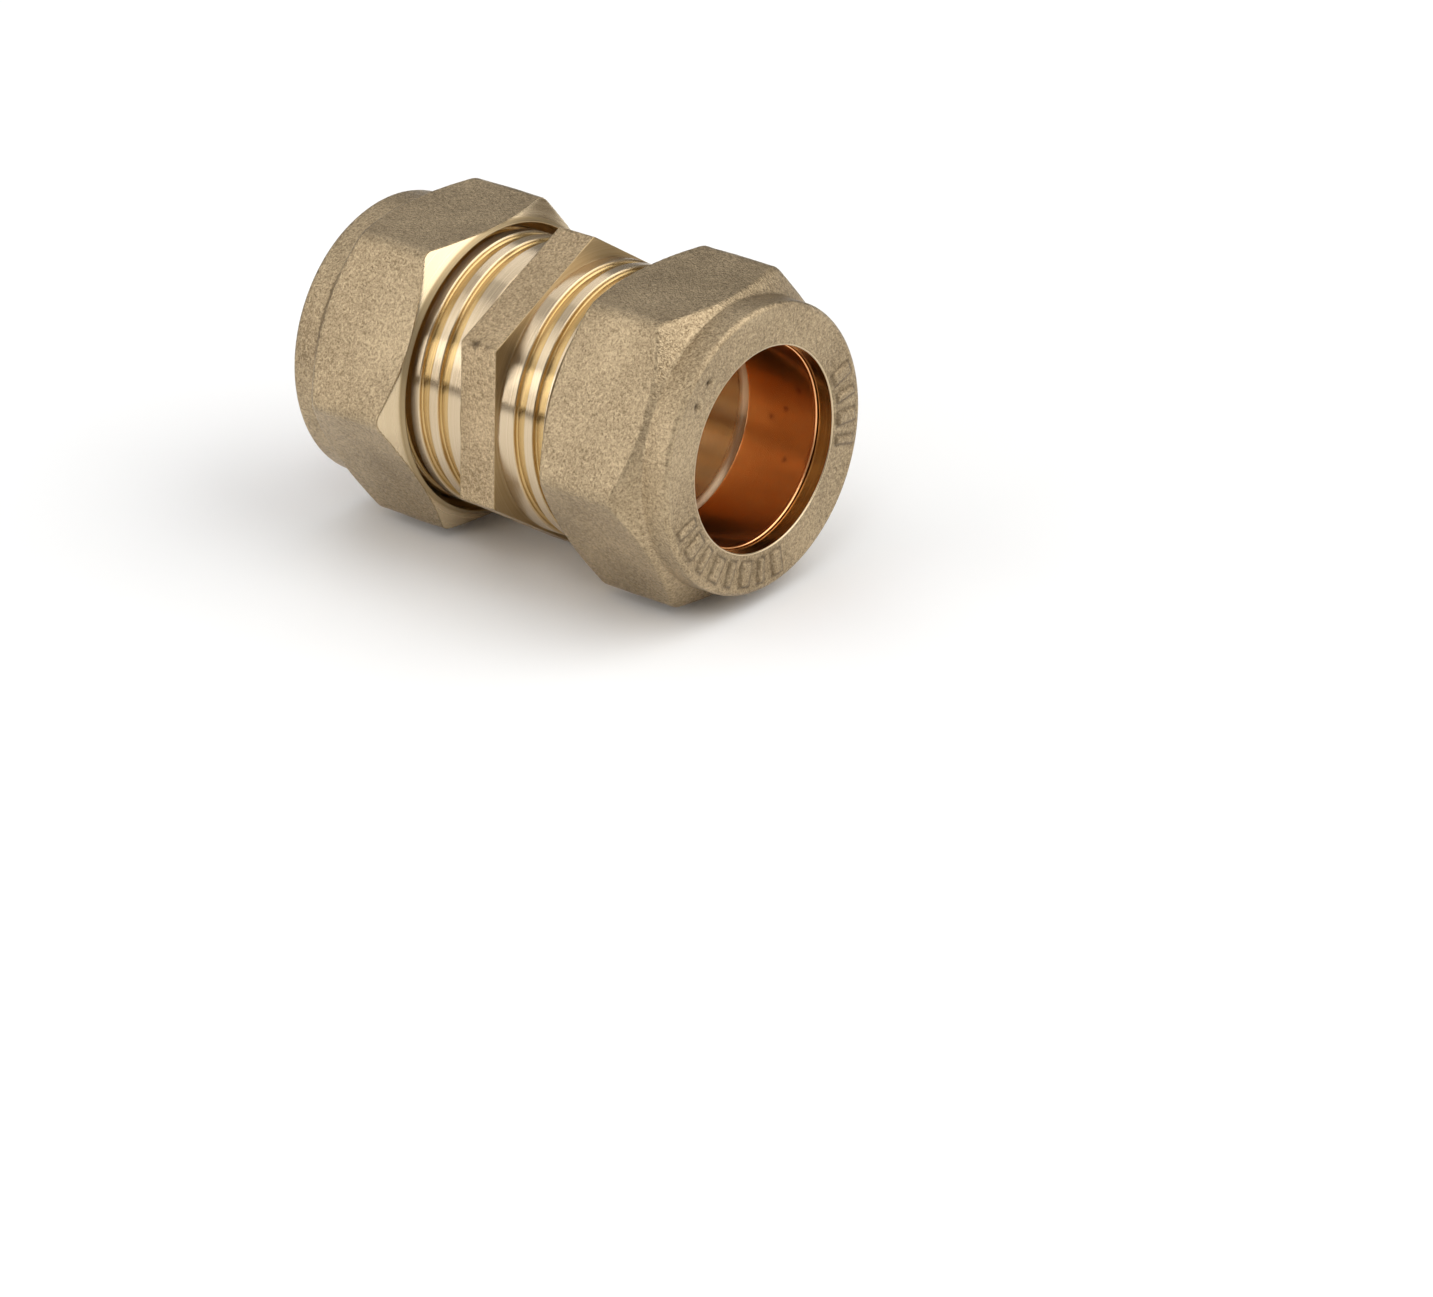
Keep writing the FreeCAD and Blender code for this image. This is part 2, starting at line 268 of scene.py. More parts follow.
def facing_out(places, quads):
    """Turn a closed surface's quads over if they face inwards."""
    corners = places[quads]
    across = np.cross(corners[:, 2] - corners[:, 0], corners[:, 3] - corners[:, 1])
    return quads if (corners.mean(axis=1) * across).sum() > 0 else quads[:, ::-1]


def ring_mesh(name, u, radius, attributes, phi):
    """A closed ring: one closed outline of u and radius for each angle phi."""
    places = at_places(u, radius, phi)
    quads = facing_out(places, ring_quads(*u.shape).reshape(-1, 4))
    return new_piece(name, places, quads, attributes)


def weld(places, quads, attributes):
    """Make places that coincide into one vertex."""
    cells = np.floor(places / WELD_REACH + WELD_SHIFT).astype(np.int64)
    _, first, vertex = np.unique(cells, axis=0, return_index=True, return_inverse=True)
    attributes = {label: values[first] for label, values in attributes.items()}
    return places[first], vertex.ravel()[quads], attributes


def new_piece(name, places, quads, attributes):
    """A smooth mesh, where a quad with two corners on one vertex becomes a triangle."""
    kept = quads != np.roll(quads, -1, axis=1)
    sizes = kept.sum(axis=1)
    kept[sizes < 3] = False
    sizes = sizes[sizes >= 3]
    corners = quads[kept]
    mesh = bpy.data.meshes.new(name)
    mesh.vertices.add(len(places))
    mesh.vertices.foreach_set("co", places.astype(np.float32).ravel())
    mesh.loops.add(corners.size)
    mesh.loops.foreach_set("vertex_index", corners.astype(np.int32))
    mesh.polygons.add(len(sizes))
    mesh.polygons.foreach_set("loop_start", (np.cumsum(sizes) - sizes).astype(np.int32))
    mesh.update(calc_edges=True)
    mesh.validate()
    mesh.shade_smooth()
    for label, values in attributes.items():
        attribute = mesh.attributes.new(label, "FLOAT", "POINT")
        attribute.data.foreach_set("value", values.astype(np.float32).ravel())
    piece = bpy.data.objects.new(name, mesh)
    bpy.context.scene.collection.objects.link(piece)
    return piece


def turn_round(u, phi, end):
    """The rear end is the front end turned half way round the vertical axis."""
    if end == "front":
        return u, phi
    return -u, 180 - phi


# ---------------------------------------------------------------- the nuts

def nut_outside(phi, u):
    """Radius of the nut's outside, and how far each point is on the turned mouth chamfer."""
    hexagon = hexagon_radius(phi, NUT_APOTHEM, NUT_CORNER_RADIUS, 30)
    hexagon = hexagon - NUT_INSET - NUT_WAVE * wander(phi, u, 3, 5) - NUT_RIPPLE * wander(phi, u, 5, 1.2)
    depth = u - NUT_MOUTH
    lip = LIP_RADIUS + depth
    cone = LIP_RADIUS + LIP_BEVEL + (depth - LIP_BEVEL) * MOUTH_SLOPE
    chamfer = np.where(depth < LIP_BEVEL, lip, cone)
    turned = np.clip(hexagon - chamfer, -EDGE_REACH, EDGE_REACH)
    radius = smooth_min(hexagon, chamfer, CHAMFER_BLEND)
    shoulder = NUT_FACE - COLLAR_LENGTH
    nose = COLLAR_RADIUS + (shoulder - u) * SHOULDER_SLOPE
    radius = smooth_min(radius, nose, SHOULDER_BLEND)
    collar = COLLAR_RADIUS - COLLAR_INSET - COLLAR_WAVE * wander(phi, u, 8, 6)
    radius = smooth_max(radius, collar, COLLAR_BLEND)
    radius = np.where(u > shoulder + COLLAR_FREE, collar, radius)
    return np.minimum(radius, hexagon + HEX_BULGE), turned


def face_relief(phi, radius):
    """Height of the plain raised bars and small dents on the outer face, and the painted shade along the
    bars' outlines and in the dents.
    """
    height = np.zeros(np.broadcast(phi, radius).shape)
    shade = np.zeros_like(height)
    for count, middle in MARK_ROWS:
        for number in range(count):
            bar = middle + (number - (count - 1) / 2) * MARK_SPACING
            off = np.radians((phi - bar + 180) % 360 - 180)
            across = np.abs(radius * np.sin(off))
            half_width = MARK_WIDTH / 2 * (1 if number % 2 else WIDE_MARK)
            reach = radius * np.cos(off)
            inside = 1 - smooth_step(half_width - MARK_SLOPE_IN, half_width + MARK_SLOPE_OUT, across)
            inside *= smooth_step(MARK_INNER - MARK_EDGE, MARK_INNER + MARK_EDGE, reach)
            inside *= 1 - smooth_step(MARK_OUTER - MARK_EDGE, MARK_OUTER + MARK_EDGE, reach)
            height = np.maximum(height, MARK_HEIGHT * MARK_RISE * inside)
            # painted shade along the bar's outline
            beyond = np.maximum(np.maximum(across - half_width, reach - MARK_OUTER), MARK_INNER - reach)
            shade = np.maximum(shade, bump_at(beyond, MARK_SHADE_AWAY, MARK_SHADE_WIDTH))
    for bar, reach in PITS:
        off = np.radians((phi - bar + 180) % 360 - 180)
        distance = np.hypot(radius * np.sin(off), radius * np.cos(off) - reach)
        height = height - PIT_DEPTH * bump_at(distance, 0, PIT_RADIUS)
        # painted shade in the pit
        shade = np.maximum(shade, PIT_SHADE * bump_at(distance, 0, PIT_SHADE_RADIUS))
    return height, shade


def female_thread(phi, u, start_turn):
    """Radius of the nut's inside where it is threaded."""
    crest_half = (PITCH - GROOVE_WIDTH + 2 * FLANK_CLEARANCE) / 2
    half_root = crest_half - THREAD_CLEARANCE * FLANK
    half_top = crest_half + (GROOVE_DEPTH - THREAD_CLEARANCE) * FLANK
    share, _ = groove_share(phi, u, start_turn, GROOVE_START + PITCH / 2, half_root, half_top)
    return NUT_MINOR_RADIUS + share * GROOVE_DEPTH


def build_nut(end, material):
    phi = np.arange(NUT_STEPS)[:, None] * 360 / NUT_STEPS
    bore_end = NUT_FACE - NUT_BORE_LENGTH
    relief_end = NUT_FACE - RELIEF_SHOULDER
    thread_end = relief_end - RELIEF_WIDTH
    recess_end = NUT_MOUTH + MOUTH_RECESS
    thread_begins = recess_end + LIP_RADIUS - NUT_MINOR_RADIUS

    outside = np.arange(NUT_MOUTH, NUT_FACE - COLLAR_EDGE, FINE)
    edge = np.radians(np.linspace(0, 90, EDGE_COLUMNS))
    edge_u = NUT_FACE - COLLAR_EDGE + COLLAR_EDGE * np.sin(edge)
    edge_r = COLLAR_RADIUS - COLLAR_EDGE + COLLAR_EDGE * np.cos(edge)
    face_r = np.arange(COLLAR_RADIUS - COLLAR_EDGE - FINE, NUT_BORE + FACE_MARGIN, -FINE)
    inside = path([(NUT_FACE, NUT_BORE + BORE_EDGE), (NUT_FACE - BORE_EDGE, NUT_BORE),
                   (bore_end, NUT_BORE), (bore_end - (NUT_SEAT_RADIUS - NUT_BORE), NUT_SEAT_RADIUS),
                   (relief_end, NUT_SEAT_RADIUS), (relief_end, NUT_RELIEF_RADIUS),
                   (thread_end, NUT_RELIEF_RADIUS), (thread_end, NUT_MINOR_RADIUS)],
                  NUT_INSIDE_STEP)
    thread_u = np.arange(thread_end - THREAD_GAP, thread_begins, -NUT_THREAD_STEP)
    lip = path([(thread_begins, NUT_MINOR_RADIUS), (recess_end, LIP_RADIUS),
                (NUT_MOUTH, LIP_RADIUS)], NUT_LIP_STEP)[:-1]

    u = np.concatenate([outside, edge_u, np.full(len(face_r), NUT_FACE), inside[:, 0], thread_u,
                        lip[:, 0]])
    u = np.tile(u, (NUT_STEPS, 1))
    radius = np.zeros_like(u)
    turned = np.full_like(u, EDGE_REACH)
    painted_bounce, dull, shade = np.zeros_like(u), np.zeros_like(u), np.zeros_like(u)
    at = 0

    outer = slice(at, at + len(outside))
    radius[:, outer], turned[:, outer] = nut_outside(phi, outside[None, :])
    at = outer.stop
    rim = slice(at, at + len(edge_u))
    fade = np.linspace(1, 0, len(edge_u))[None, :]
    droop = COLLAR_RADIUS - radius[:, outer][:, -1:]
    radius[:, rim] = edge_r[None, :] - fade * droop
    turned[:, rim] = -EDGE_REACH
    at = rim.stop
    face = slice(at, at + len(face_r))
    radius[:, face] = face_r[None, :]
    # raised bars and pits on the face, with painted shade round the bars and in the pits
    height, shade[:, face] = face_relief(phi, face_r[None, :])
    u[:, face] += height
    u[:, face] -= FACE_INSET + FACE_WAVE * wander(phi, face_r[None, :], 12, 4)
    turned[:, face] = -EDGE_REACH
    at = face.stop
    hollow = slice(at, at + len(inside))
    radius[:, hollow] = inside[None, :, 1]
    at = hollow.stop
    thread = slice(at, at + len(thread_u))
    radius[:, thread] = female_thread(phi, thread_u[None, :], START_TURN[end])
    at = thread.stop
    mouth = slice(at, None)
    threaded = female_thread(phi, lip[None, :, 0], START_TURN[end])
    radius[:, mouth] = np.maximum(threaded, lip[None, :, 1])
    # painted reflection inside the nut, past the bore's edge
    painted_bounce[:, hollow.start + 2:] = BORE_PAINTED_BOUNCE
    dull[:, thread.start:] = 1
    # the lip bevel: painted reflection, rougher metal and painted shade
    bevel = outside[None, :] < NUT_MOUTH + LIP_BEVEL + 0.02
    painted_bounce[:, outer] = BEVEL_PAINTED_BOUNCE * bevel
    dull[:, outer] = bevel
    shade[:, outer] = BEVEL_SHADE * bevel

    placed_u, placed_phi = turn_round(u, phi, end)
    marks = {"turned": turned, "painted_bounce": painted_bounce, "dull": dull, "shade": shade}
    piece = ring_mesh(end + "_nut_shell", placed_u, radius, marks, placed_phi)
    piece.data.materials.append(material)
    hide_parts(end + "_nut")
    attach(piece, end + "_nut")


# ---------------------------------------------------------------- the body

def male_thread(phi, u):
    """Depth of the helical grooves in the body, front and rear, with a short run-out."""
    depth = np.zeros(np.broadcast(phi, u).shape)
    for end in ("front", "rear"):
        local_u, local_phi = turn_round(u, phi, end)
        share, wound = groove_share(local_phi, local_u, START_TURN[end], GROOVE_START, ROOT_HALF_WIDTH,
                                    GROOVE_WIDTH / 2)
        share = share * smooth_step(0, RUN_OUT, wound)
        depth = np.where(local_u > 0, share * GROOVE_DEPTH, depth)
    return depth


def thread_strip(phi, begin, finish, end):
    """A threaded barrel as a strip one pitch wide, wound along the groove and cut off square.

    Returns its places, its quads and how deep in the groove each place lies.
    """
    half_top = GROOVE_WIDTH / 2
    half = np.array([*ROOT_COLUMNS, ROOT_HALF_WIDTH - EDGE_COLUMN, ROOT_HALF_WIDTH,
                     (ROOT_HALF_WIDTH + half_top) / 2, half_top, half_top + EDGE_COLUMN,
                     CREST_COLUMN, PITCH / 2])
    across = np.concatenate([-half[::-1], half])
    steps_per_pitch = BODY_STEPS / PITCH
    start = START_TURN[end] / 360 * BODY_STEPS
    first = math.floor((begin - GROOVE_START - PITCH / 2) * steps_per_pitch - start)
    last = math.ceil((finish - GROOVE_START + PITCH / 2) * steps_per_pitch - start)
    step = np.arange(first, last + 1)[:, None]
    u = np.clip(GROOVE_START + (step + start) / steps_per_pitch + across, begin, finish)
    row = -step % BODY_STEPS if end == "front" else (BODY_STEPS // 2 + step) % BODY_STEPS
    around = np.broadcast_to(phi[row[:, 0]], u.shape)
    u = u if end == "front" else -u
    depth = male_thread(around, u)
    index = np.arange(u.size).reshape(u.shape)
    quads = np.stack([index[:-1, :-1], index[1:, :-1], index[1:, 1:], index[:-1, 1:]], axis=-1)
    return at_places(u, CREST_RADIUS - depth, around), quads.reshape(-1, 4), depth.ravel()


def build_body(forged_material, turned_material):
    phi = np.arange(BODY_STEPS)[:, None] * 360 / BODY_STEPS
    hexagon = hexagon_radius(phi, HEX_APOTHEM, HEX_CORNER_RADIUS, HEX_TURN)
    seat = BODY_END - SEAT_DEPTH
    mouth = SOCKET_RADIUS + SEAT_DEPTH * SEAT_SLOPE

    relief_end = HEX_HALF_WIDTH + HEX_RELIEF_WIDTH
    barrel_begin, barrel_finish = relief_end + BARREL_EDGE, BODY_END - END_CHAMFER
    wall = np.linspace(0, 1, WALL_COLUMNS)
    top = np.linspace(HEX_EDGE - HEX_HALF_WIDTH, HEX_HALF_WIDTH - HEX_EDGE, FLAT_COLUMNS)
    rim = path([(barrel_finish, CREST_RADIUS), (BODY_END, CREST_RADIUS - END_CHAMFER),
                (BODY_END, mouth), (seat, SOCKET_RADIUS)], BODY_RIM_STEP)
    socket = path([(seat, SOCKET_RADIUS), (STOP_HALF_WIDTH, SOCKET_RADIUS),
                   (STOP_HALF_WIDTH, STOP_RADIUS), (-STOP_HALF_WIDTH, STOP_RADIUS),
                   (-STOP_HALF_WIDTH, SOCKET_RADIUS), (-seat, SOCKET_RADIUS)], BODY_SOCKET_STEP)
    socket = socket[1:-1]

    root = CREST_RADIUS - HEX_RELIEF_DEPTH
    rise = root + (hexagon - root) * wall[None, :]
    beside = path([(HEX_HALF_WIDTH + RELIEF_EDGE, root), (relief_end - RELIEF_EDGE, root),
                   (relief_end, CREST_RADIUS - BARREL_EDGE), (barrel_begin, CREST_RADIUS)])
    flats = hexagon - HEX_INSET - HEX_WAVE * wander(phi, top[None, :], 21, 4)
    dent = bump_at(phi, DENT[0], 1.9) * bump_at(top[None, :], DENT[1], 0.5)
    nick = bump_at(phi, DENT[0], 1.2) * bump_at(top[None, :], DENT[1] + NICK_AWAY, 0.35)
    flats = flats - DENT_DEPTH * dent - NICK_DEPTH * nick
    cut, forged = EDGE_REACH, -EDGE_REACH
    # places along the axis, radii, then how far each is turned, painted reflection and dull
    columns = [
        (-beside[::-1, 0], np.tile(beside[::-1, 1], (BODY_STEPS, 1)), cut, 0, 0),
        (np.full(WALL_COLUMNS, -HEX_HALF_WIDTH), rise, cut, WALL_PAINTED_BOUNCE, 1),
        (top, flats, forged, 0, 0),
        (np.full(WALL_COLUMNS, HEX_HALF_WIDTH), rise[:, ::-1], cut, WALL_PAINTED_BOUNCE, 1),
        (beside[:, 0], np.tile(beside[:, 1], (BODY_STEPS, 1)), cut, 0, 0),
        (rim[:, 0], np.tile(rim[:, 1], (BODY_STEPS, 1)), cut, 0, 1),
        (socket[:, 0], np.tile(socket[:, 1], (BODY_STEPS, 1)), cut, SOCKET_PAINTED_BOUNCE, 0),
        (-rim[::-1, 0], np.tile(rim[::-1, 1], (BODY_STEPS, 1)), cut, 0, 1),
    ]
    u = np.tile(np.concatenate([part[0] for part in columns]), (BODY_STEPS, 1))
    radius = np.concatenate([part[1] for part in columns], axis=1)
    turned = np.concatenate([np.full(part[1].shape, part[2], float) for part in columns], axis=1)
    painted_bounce = np.concatenate([np.full(part[1].shape, part[3], float) for part in columns], axis=1)
    dull = np.concatenate([np.full(part[1].shape, part[4], float) for part in columns], axis=1)
    shade = np.zeros_like(u)
    start = len(beside) + WALL_COLUMNS
    finish = start + FLAT_COLUMNS
    # painted shade in the dent and the nick on the hexagon's corner
    shade[:, start:finish] = DENT_SHADE * dent + NICK_SHADE * nick
    # painted shade on the hexagon's two walls
    shade[:, start - WALL_COLUMNS:start] = WALL_SHADE
    shade[:, finish:finish + WALL_COLUMNS] = WALL_SHADE
    runs_out = CREST_RADIUS - np.maximum(0, np.abs(u) - barrel_finish) - male_thread(phi, u)
    outside = (np.abs(u) >= barrel_begin) & (radius > CREST_RADIUS - END_CHAMFER - GROOVE_DEPTH)
    radius = np.where(outside, np.minimum(radius, runs_out), radius)
    marks = {"turned": turned, "painted_bounce": painted_bounce, "dull": dull, "shade": shade}
    places = at_places(u, radius, phi)
    quads = facing_out(places, ring_quads(*u.shape).reshape(-1, 4)).reshape(*u.shape, 4)
    # the strips fill the ring's two open columns
    open_columns = [finish + WALL_COLUMNS + len(beside) - 1, u.shape[1] - 1]
    quads = np.delete(quads, open_columns, axis=1).reshape(-1, 4)
    marks = {label: values.ravel() for label, values in marks.items()}
    for end in ("front", "rear"):
        strip_places, strip_quads, depth = thread_strip(phi, barrel_begin, barrel_finish, end)
        quads = np.concatenate([quads, strip_quads + len(places)])
        places = np.concatenate([places, strip_places])
        # painted reflection, full from a share of the groove's depth down to its root
        in_groove = smooth_step(0, GROOVE_BOUNCE_RISE, depth / GROOVE_DEPTH)
        strip_marks = {"turned": cut, "painted_bounce": in_groove, "dull": 0, "shade": 0}
        marks = {label: np.concatenate([marks[label], np.broadcast_to(strip_marks[label], depth.shape)])
                 for label in marks}
    places, quads, marks = weld(places, quads, marks)
    piece = new_piece("coupling_body_shell", places, quads, marks)
    piece.data.materials.append(forged_material)
    piece.data.materials.append(turned_material)
    for polygon in piece.data.polygons:
        polygon.material_index = int(all(marks["turned"][corner] > 0 for corner in polygon.vertices))
    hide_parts("coupling_body")
    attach(piece, "coupling_body")


# ---------------------------------------------------------------- the olives

def build_olive(end, material):
    phi = np.arange(OLIVE_STEPS)[:, None] * 360 / OLIVE_STEPS
    near, far = olive_low.x, olive_high.x
    bore, outer, tip, taper = OLIVE_BORE, olive_high.z, OLIVE_TIP, OLIVE_TAPER
    edge, bore_edge = OLIVE_EDGE, BORE_EDGE
    outline = path([(near + bore_edge, bore), (far - bore_edge, bore), (far, bore + bore_edge),
                    (far, tip - edge), (far - edge, tip), (far - taper, outer), (near + taper, outer),
                    (near + edge, tip), (near, tip - edge), (near, bore + bore_edge)],
                   OLIVE_STEP, OLIVE_SOFTEN)
    u = np.tile(outline[:, 0], (OLIVE_STEPS, 1))
    radius = np.tile(outline[:, 1], (OLIVE_STEPS, 1))
    placed_u, placed_phi = turn_round(u, phi, end)
    stain = np.zeros_like(u)
    for around, along in STAINS:
        distance = np.hypot(np.radians(phi - around) * bore, u - along)
        stain = np.maximum(stain, bump_at(distance, 0, STAIN_RADIUS))
    piece = ring_mesh(end + "_olive_ring", placed_u, radius, {"stain": stain}, placed_phi)
    piece.data.materials.append(material)
    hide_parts(end + "_olive")
    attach(piece, end + "_olive")


# ---------------------------------------------------------------- materials

TURNED_EDGE = 0.04                              # mm to either side where cut metal meets forged skin
PAINTED_SHADE = (0.12, 0.085, 0.05)                    # painted shade in the dents and pits, round the raised bars, on the hexagon's walls and on the nut's lip bevel
FORGED_ROUGHNESS, DULL_ROUGHNESS = (0.3, 0.46), (0.35, 0.5)
GRAIN, SPECKLE, CLOUD = 6500, 3600, 160         # per metre, from the finest marks to the widest
TURNED_RINGS, DRAWN_RINGS = 9000, 4000
COPPER_DARK, COPPER_LIGHT = (0.92, 0.43, 0.17), (0.97, 0.52, 0.25)
COPPER_STAIN = (0.3, 0.1, 0.05)
COPPER_ROUGHNESS = (0.15, 0.27)
FLOOR_DARK, FLOOR_LIGHT = (0.92, 0.92, 0.915), (0.94, 0.94, 0.935)
FLOOR_ROUGHNESS = (0.75, 0.85)
FORGED_GRAIN, DRAWN_GRAIN = 0.00005, 0.000004   # metres, the height of the fine marks
TURNED_GRAIN = 0.05                             # the turned marks' share of the forged ones

class Nodes:
    """Adds linked shader nodes to a material with short calls."""

    def __init__(self, name):
        self.material = bpy.data.materials.new(name)
        self.material.use_nodes = True
        self.tree = self.material.node_tree
        self.surface = self.tree.nodes["Principled BSDF"]

    def link(self, source, target):
        self.tree.links.new(source, target)

    def add(self, kind, inputs=None, **settings):
        node = self.tree.nodes.new(kind)
        for label, value in settings.items():
            setattr(node, label, value)
        for label, value in (inputs or {}).items():
            socket = node.inputs[label]
            if isinstance(value, bpy.types.NodeSocket):
                self.link(value, socket)
            else:
                socket.default_value = value
        return node

    def position(self):
        return self.add("ShaderNodeTexCoord").outputs["Object"]

    def noise(self, scale, detail, roughness=0.5):
        inputs = {"Scale": scale, "Detail": detail, "Roughness": roughness, "Vector": self.position()}
        return self.add("ShaderNodeTexNoise", inputs).outputs["Fac"]

    def ramp(self, factor, stops):
        node = self.add("ShaderNodeValToRGB", {"Fac": factor})
        elements = node.color_ramp.elements
        elements[0].position, elements[0].color = stops[0][0], (*stops[0][1], 1)
        elements[1].position, elements[1].color = stops[-1][0], (*stops[-1][1], 1)
        for place, colour in stops[1:-1]:
            elements.new(place).color = (*colour, 1)
        return node.outputs["Color"]

    def spread(self, value, low, high):
        """Map 0..1 onto low..high."""
        inputs = {"Value": value, "To Min": low, "To Max": high}
        return self.add("ShaderNodeMapRange", inputs).outputs["Result"]

    def mix(self, factor, a, b):
        node = self.tree.nodes.new("ShaderNodeMix")
        node.data_type = "RGBA"
        self.feed(node.inputs[0], factor)
        self.feed(node.inputs[6], a)
        self.feed(node.inputs[7], b)
        return node.outputs[2]

    def blend(self, factor, a, b):
        node = self.tree.nodes.new("ShaderNodeMix")
        node.data_type = "FLOAT"
        self.feed(node.inputs[0], factor)
        self.feed(node.inputs[2], a)
        self.feed(node.inputs[3], b)
        return node.outputs[0]

    def feed(self, socket, value):
        if isinstance(value, bpy.types.NodeSocket):
            self.link(value, socket)
        else:
            socket.default_value = value

    def math(self, operation, a, b=0.0):
        node = self.add("ShaderNodeMath", operation=operation)
        self.feed(node.inputs[0], a)
        self.feed(node.inputs[1], b)
        return node.outputs[0]

    def attribute(self, name):
        return self.add("ShaderNodeAttribute", attribute_name=name).outputs["Fac"]

    def bump(self, height, distance):
        inputs = {"Height": height, "Distance": distance, "Strength": 1.0}
        return self.add("ShaderNodeBump", inputs).outputs["Normal"]


def turning_marks(nodes, scale):
    """Fine rings left by the tool, the same all the way round the pipe axis."""
    apart = nodes.add("ShaderNodeSeparateXYZ", {"Vector": nodes.position()})
    around = nodes.math("SQRT", nodes.math(
        "ADD", nodes.math("POWER", apart.outputs["Y"], 2.0), nodes.math("POWER", apart.outputs["Z"], 2.0)))
    place = nodes.math("ADD", apart.outputs["X"], nodes.math("MULTIPLY", around, 0.7))
    node = nodes.add("ShaderNodeTexNoise", {"W": nodes.math("MULTIPLY", place, scale), "Scale": 1.0,
                                            "Detail": 3.0}, noise_dimensions="1D")
    return node.outputs["Fac"]


def brass(name, forged_dark, forged_light, turned_dark, turned_light, turned_roughness,
          bounce_roughness):
    """Forged skin where 'turned' is low, tool-cut metal where it is high.

    The cut metal is painted deeper and darker where its painted-reflection mark is 1, standing in for
    light bounced between brass faces, and rougher where 'dull' is 1. Everything is mixed towards a dark
    brown, as painted shade, where 'shade' is high.
    """
    nodes = Nodes(name)
    turned = nodes.add("ShaderNodeMapRange", {
        "Value": nodes.attribute("turned"), "From Min": -TURNED_EDGE, "From Max": TURNED_EDGE})
    turned = turned.outputs["Result"]
    grain = nodes.noise(GRAIN, 2.0, 0.7)
    speckle = nodes.noise(SPECKLE, 3.0, 0.7)
    cloud = nodes.noise(CLOUD, 3.0)
    rings = turning_marks(nodes, TURNED_RINGS)

    tone = nodes.math("ADD", nodes.math("MULTIPLY", grain, 0.55), nodes.math("MULTIPLY", speckle, 0.45))
    tone = nodes.math("ADD", tone, nodes.spread(cloud, -0.12, 0.12))
    forged = nodes.ramp(tone, [(0.38, forged_dark), (0.62, forged_light)])
    cut = nodes.ramp(nodes.math("ADD", nodes.math("MULTIPLY", rings, 0.6),
                                nodes.math("MULTIPLY", cloud, 0.4)),
                     [(0.3, turned_dark), (0.7, turned_light)])
    # painted reflection: the cut metal is painted more saturated and darker where light would bounce
    # between brass faces
    bounce_mark = nodes.attribute("painted_bounce")
    deeper = nodes.add("ShaderNodeHueSaturation", {"Color": cut, "Saturation": 1.5, "Value": 0.92})
    cut = nodes.mix(bounce_mark, cut, deeper.outputs["Color"])
    # painted shade: the colour is mixed towards a dark brown where 'shade' is high
    shade = nodes.math("MULTIPLY", nodes.attribute("shade"), 0.7)
    colour = nodes.mix(shade, nodes.mix(turned, forged, cut), (*PAINTED_SHADE, 1))
    nodes.feed(nodes.surface.inputs["Base Color"], colour)
    nodes.surface.inputs["Metallic"].default_value = 1.0
    rough = nodes.spread(speckle, *FORGED_ROUGHNESS)
    smooth = nodes.spread(rings, *turned_roughness)
    smooth = nodes.blend(bounce_mark, smooth, nodes.spread(rings, *bounce_roughness))
    smooth = nodes.blend(nodes.attribute("dull"), smooth, nodes.spread(speckle, *DULL_ROUGHNESS))
    nodes.feed(nodes.surface.inputs["Roughness"], nodes.blend(turned, rough, smooth))
    forged_relief = nodes.math("ADD", grain, nodes.math("MULTIPLY", speckle, 1.6))
    forged_relief = nodes.math("MULTIPLY", forged_relief, nodes.math("SUBTRACT", 1.0, turned))
    ring_relief = nodes.math("MULTIPLY", nodes.math("MULTIPLY", rings, TURNED_GRAIN), turned)
    relief = nodes.math("ADD", forged_relief, ring_relief)
    nodes.feed(nodes.surface.inputs["Normal"], nodes.bump(relief, FORGED_GRAIN))
    return nodes.material


def brushed(material):
    """Spread the reflections along the pipe axis, across the fine rings left by the tool."""
    surface = material.node_tree.nodes["Principled BSDF"]
    surface.inputs["Anisotropic"].default_value = 1.0
    surface.inputs["Anisotropic Rotation"].default_value = 0.25
    tangent = material.node_tree.nodes.new("ShaderNodeTangent")
    tangent.direction_type, tangent.axis = "RADIAL", "X"
    material.node_tree.links.new(tangent.outputs["Tangent"], surface.inputs["Tangent"])
    return material


def copper():
    nodes = Nodes("drawn_copper")
    rings = turning_marks(nodes, DRAWN_RINGS)
    cloud = nodes.noise(220, 3.0)
    tone = nodes.math("ADD", nodes.math("MULTIPLY", rings, 0.35), nodes.math("MULTIPLY", cloud, 0.65))
    clean = nodes.ramp(tone, [(0.1, COPPER_DARK), (0.9, COPPER_LIGHT)])
    stain = nodes.math("MULTIPLY", nodes.attribute("stain"), 0.8)
    nodes.feed(nodes.surface.inputs["Base Color"], nodes.mix(stain, clean, (*COPPER_STAIN, 1)))
    nodes.surface.inputs["Metallic"].default_value = 1.0
    nodes.feed(nodes.surface.inputs["Roughness"], nodes.spread(cloud, *COPPER_ROUGHNESS))
    nodes.feed(nodes.surface.inputs["Normal"], nodes.bump(rings, DRAWN_GRAIN))
    return nodes.material


def floor_material():
    nodes = Nodes("pale_floor")
    cloud = nodes.noise(3, 2.0)
    colour = nodes.ramp(cloud, [(0.3, FLOOR_DARK), (0.7, FLOOR_LIGHT)])
    nodes.feed(nodes.surface.inputs["Base Color"], colour)
    nodes.feed(nodes.surface.inputs["Roughness"], nodes.spread(cloud, *FLOOR_ROUGHNESS))
    return nodes.material


# ---------------------------------------------------------------- studio

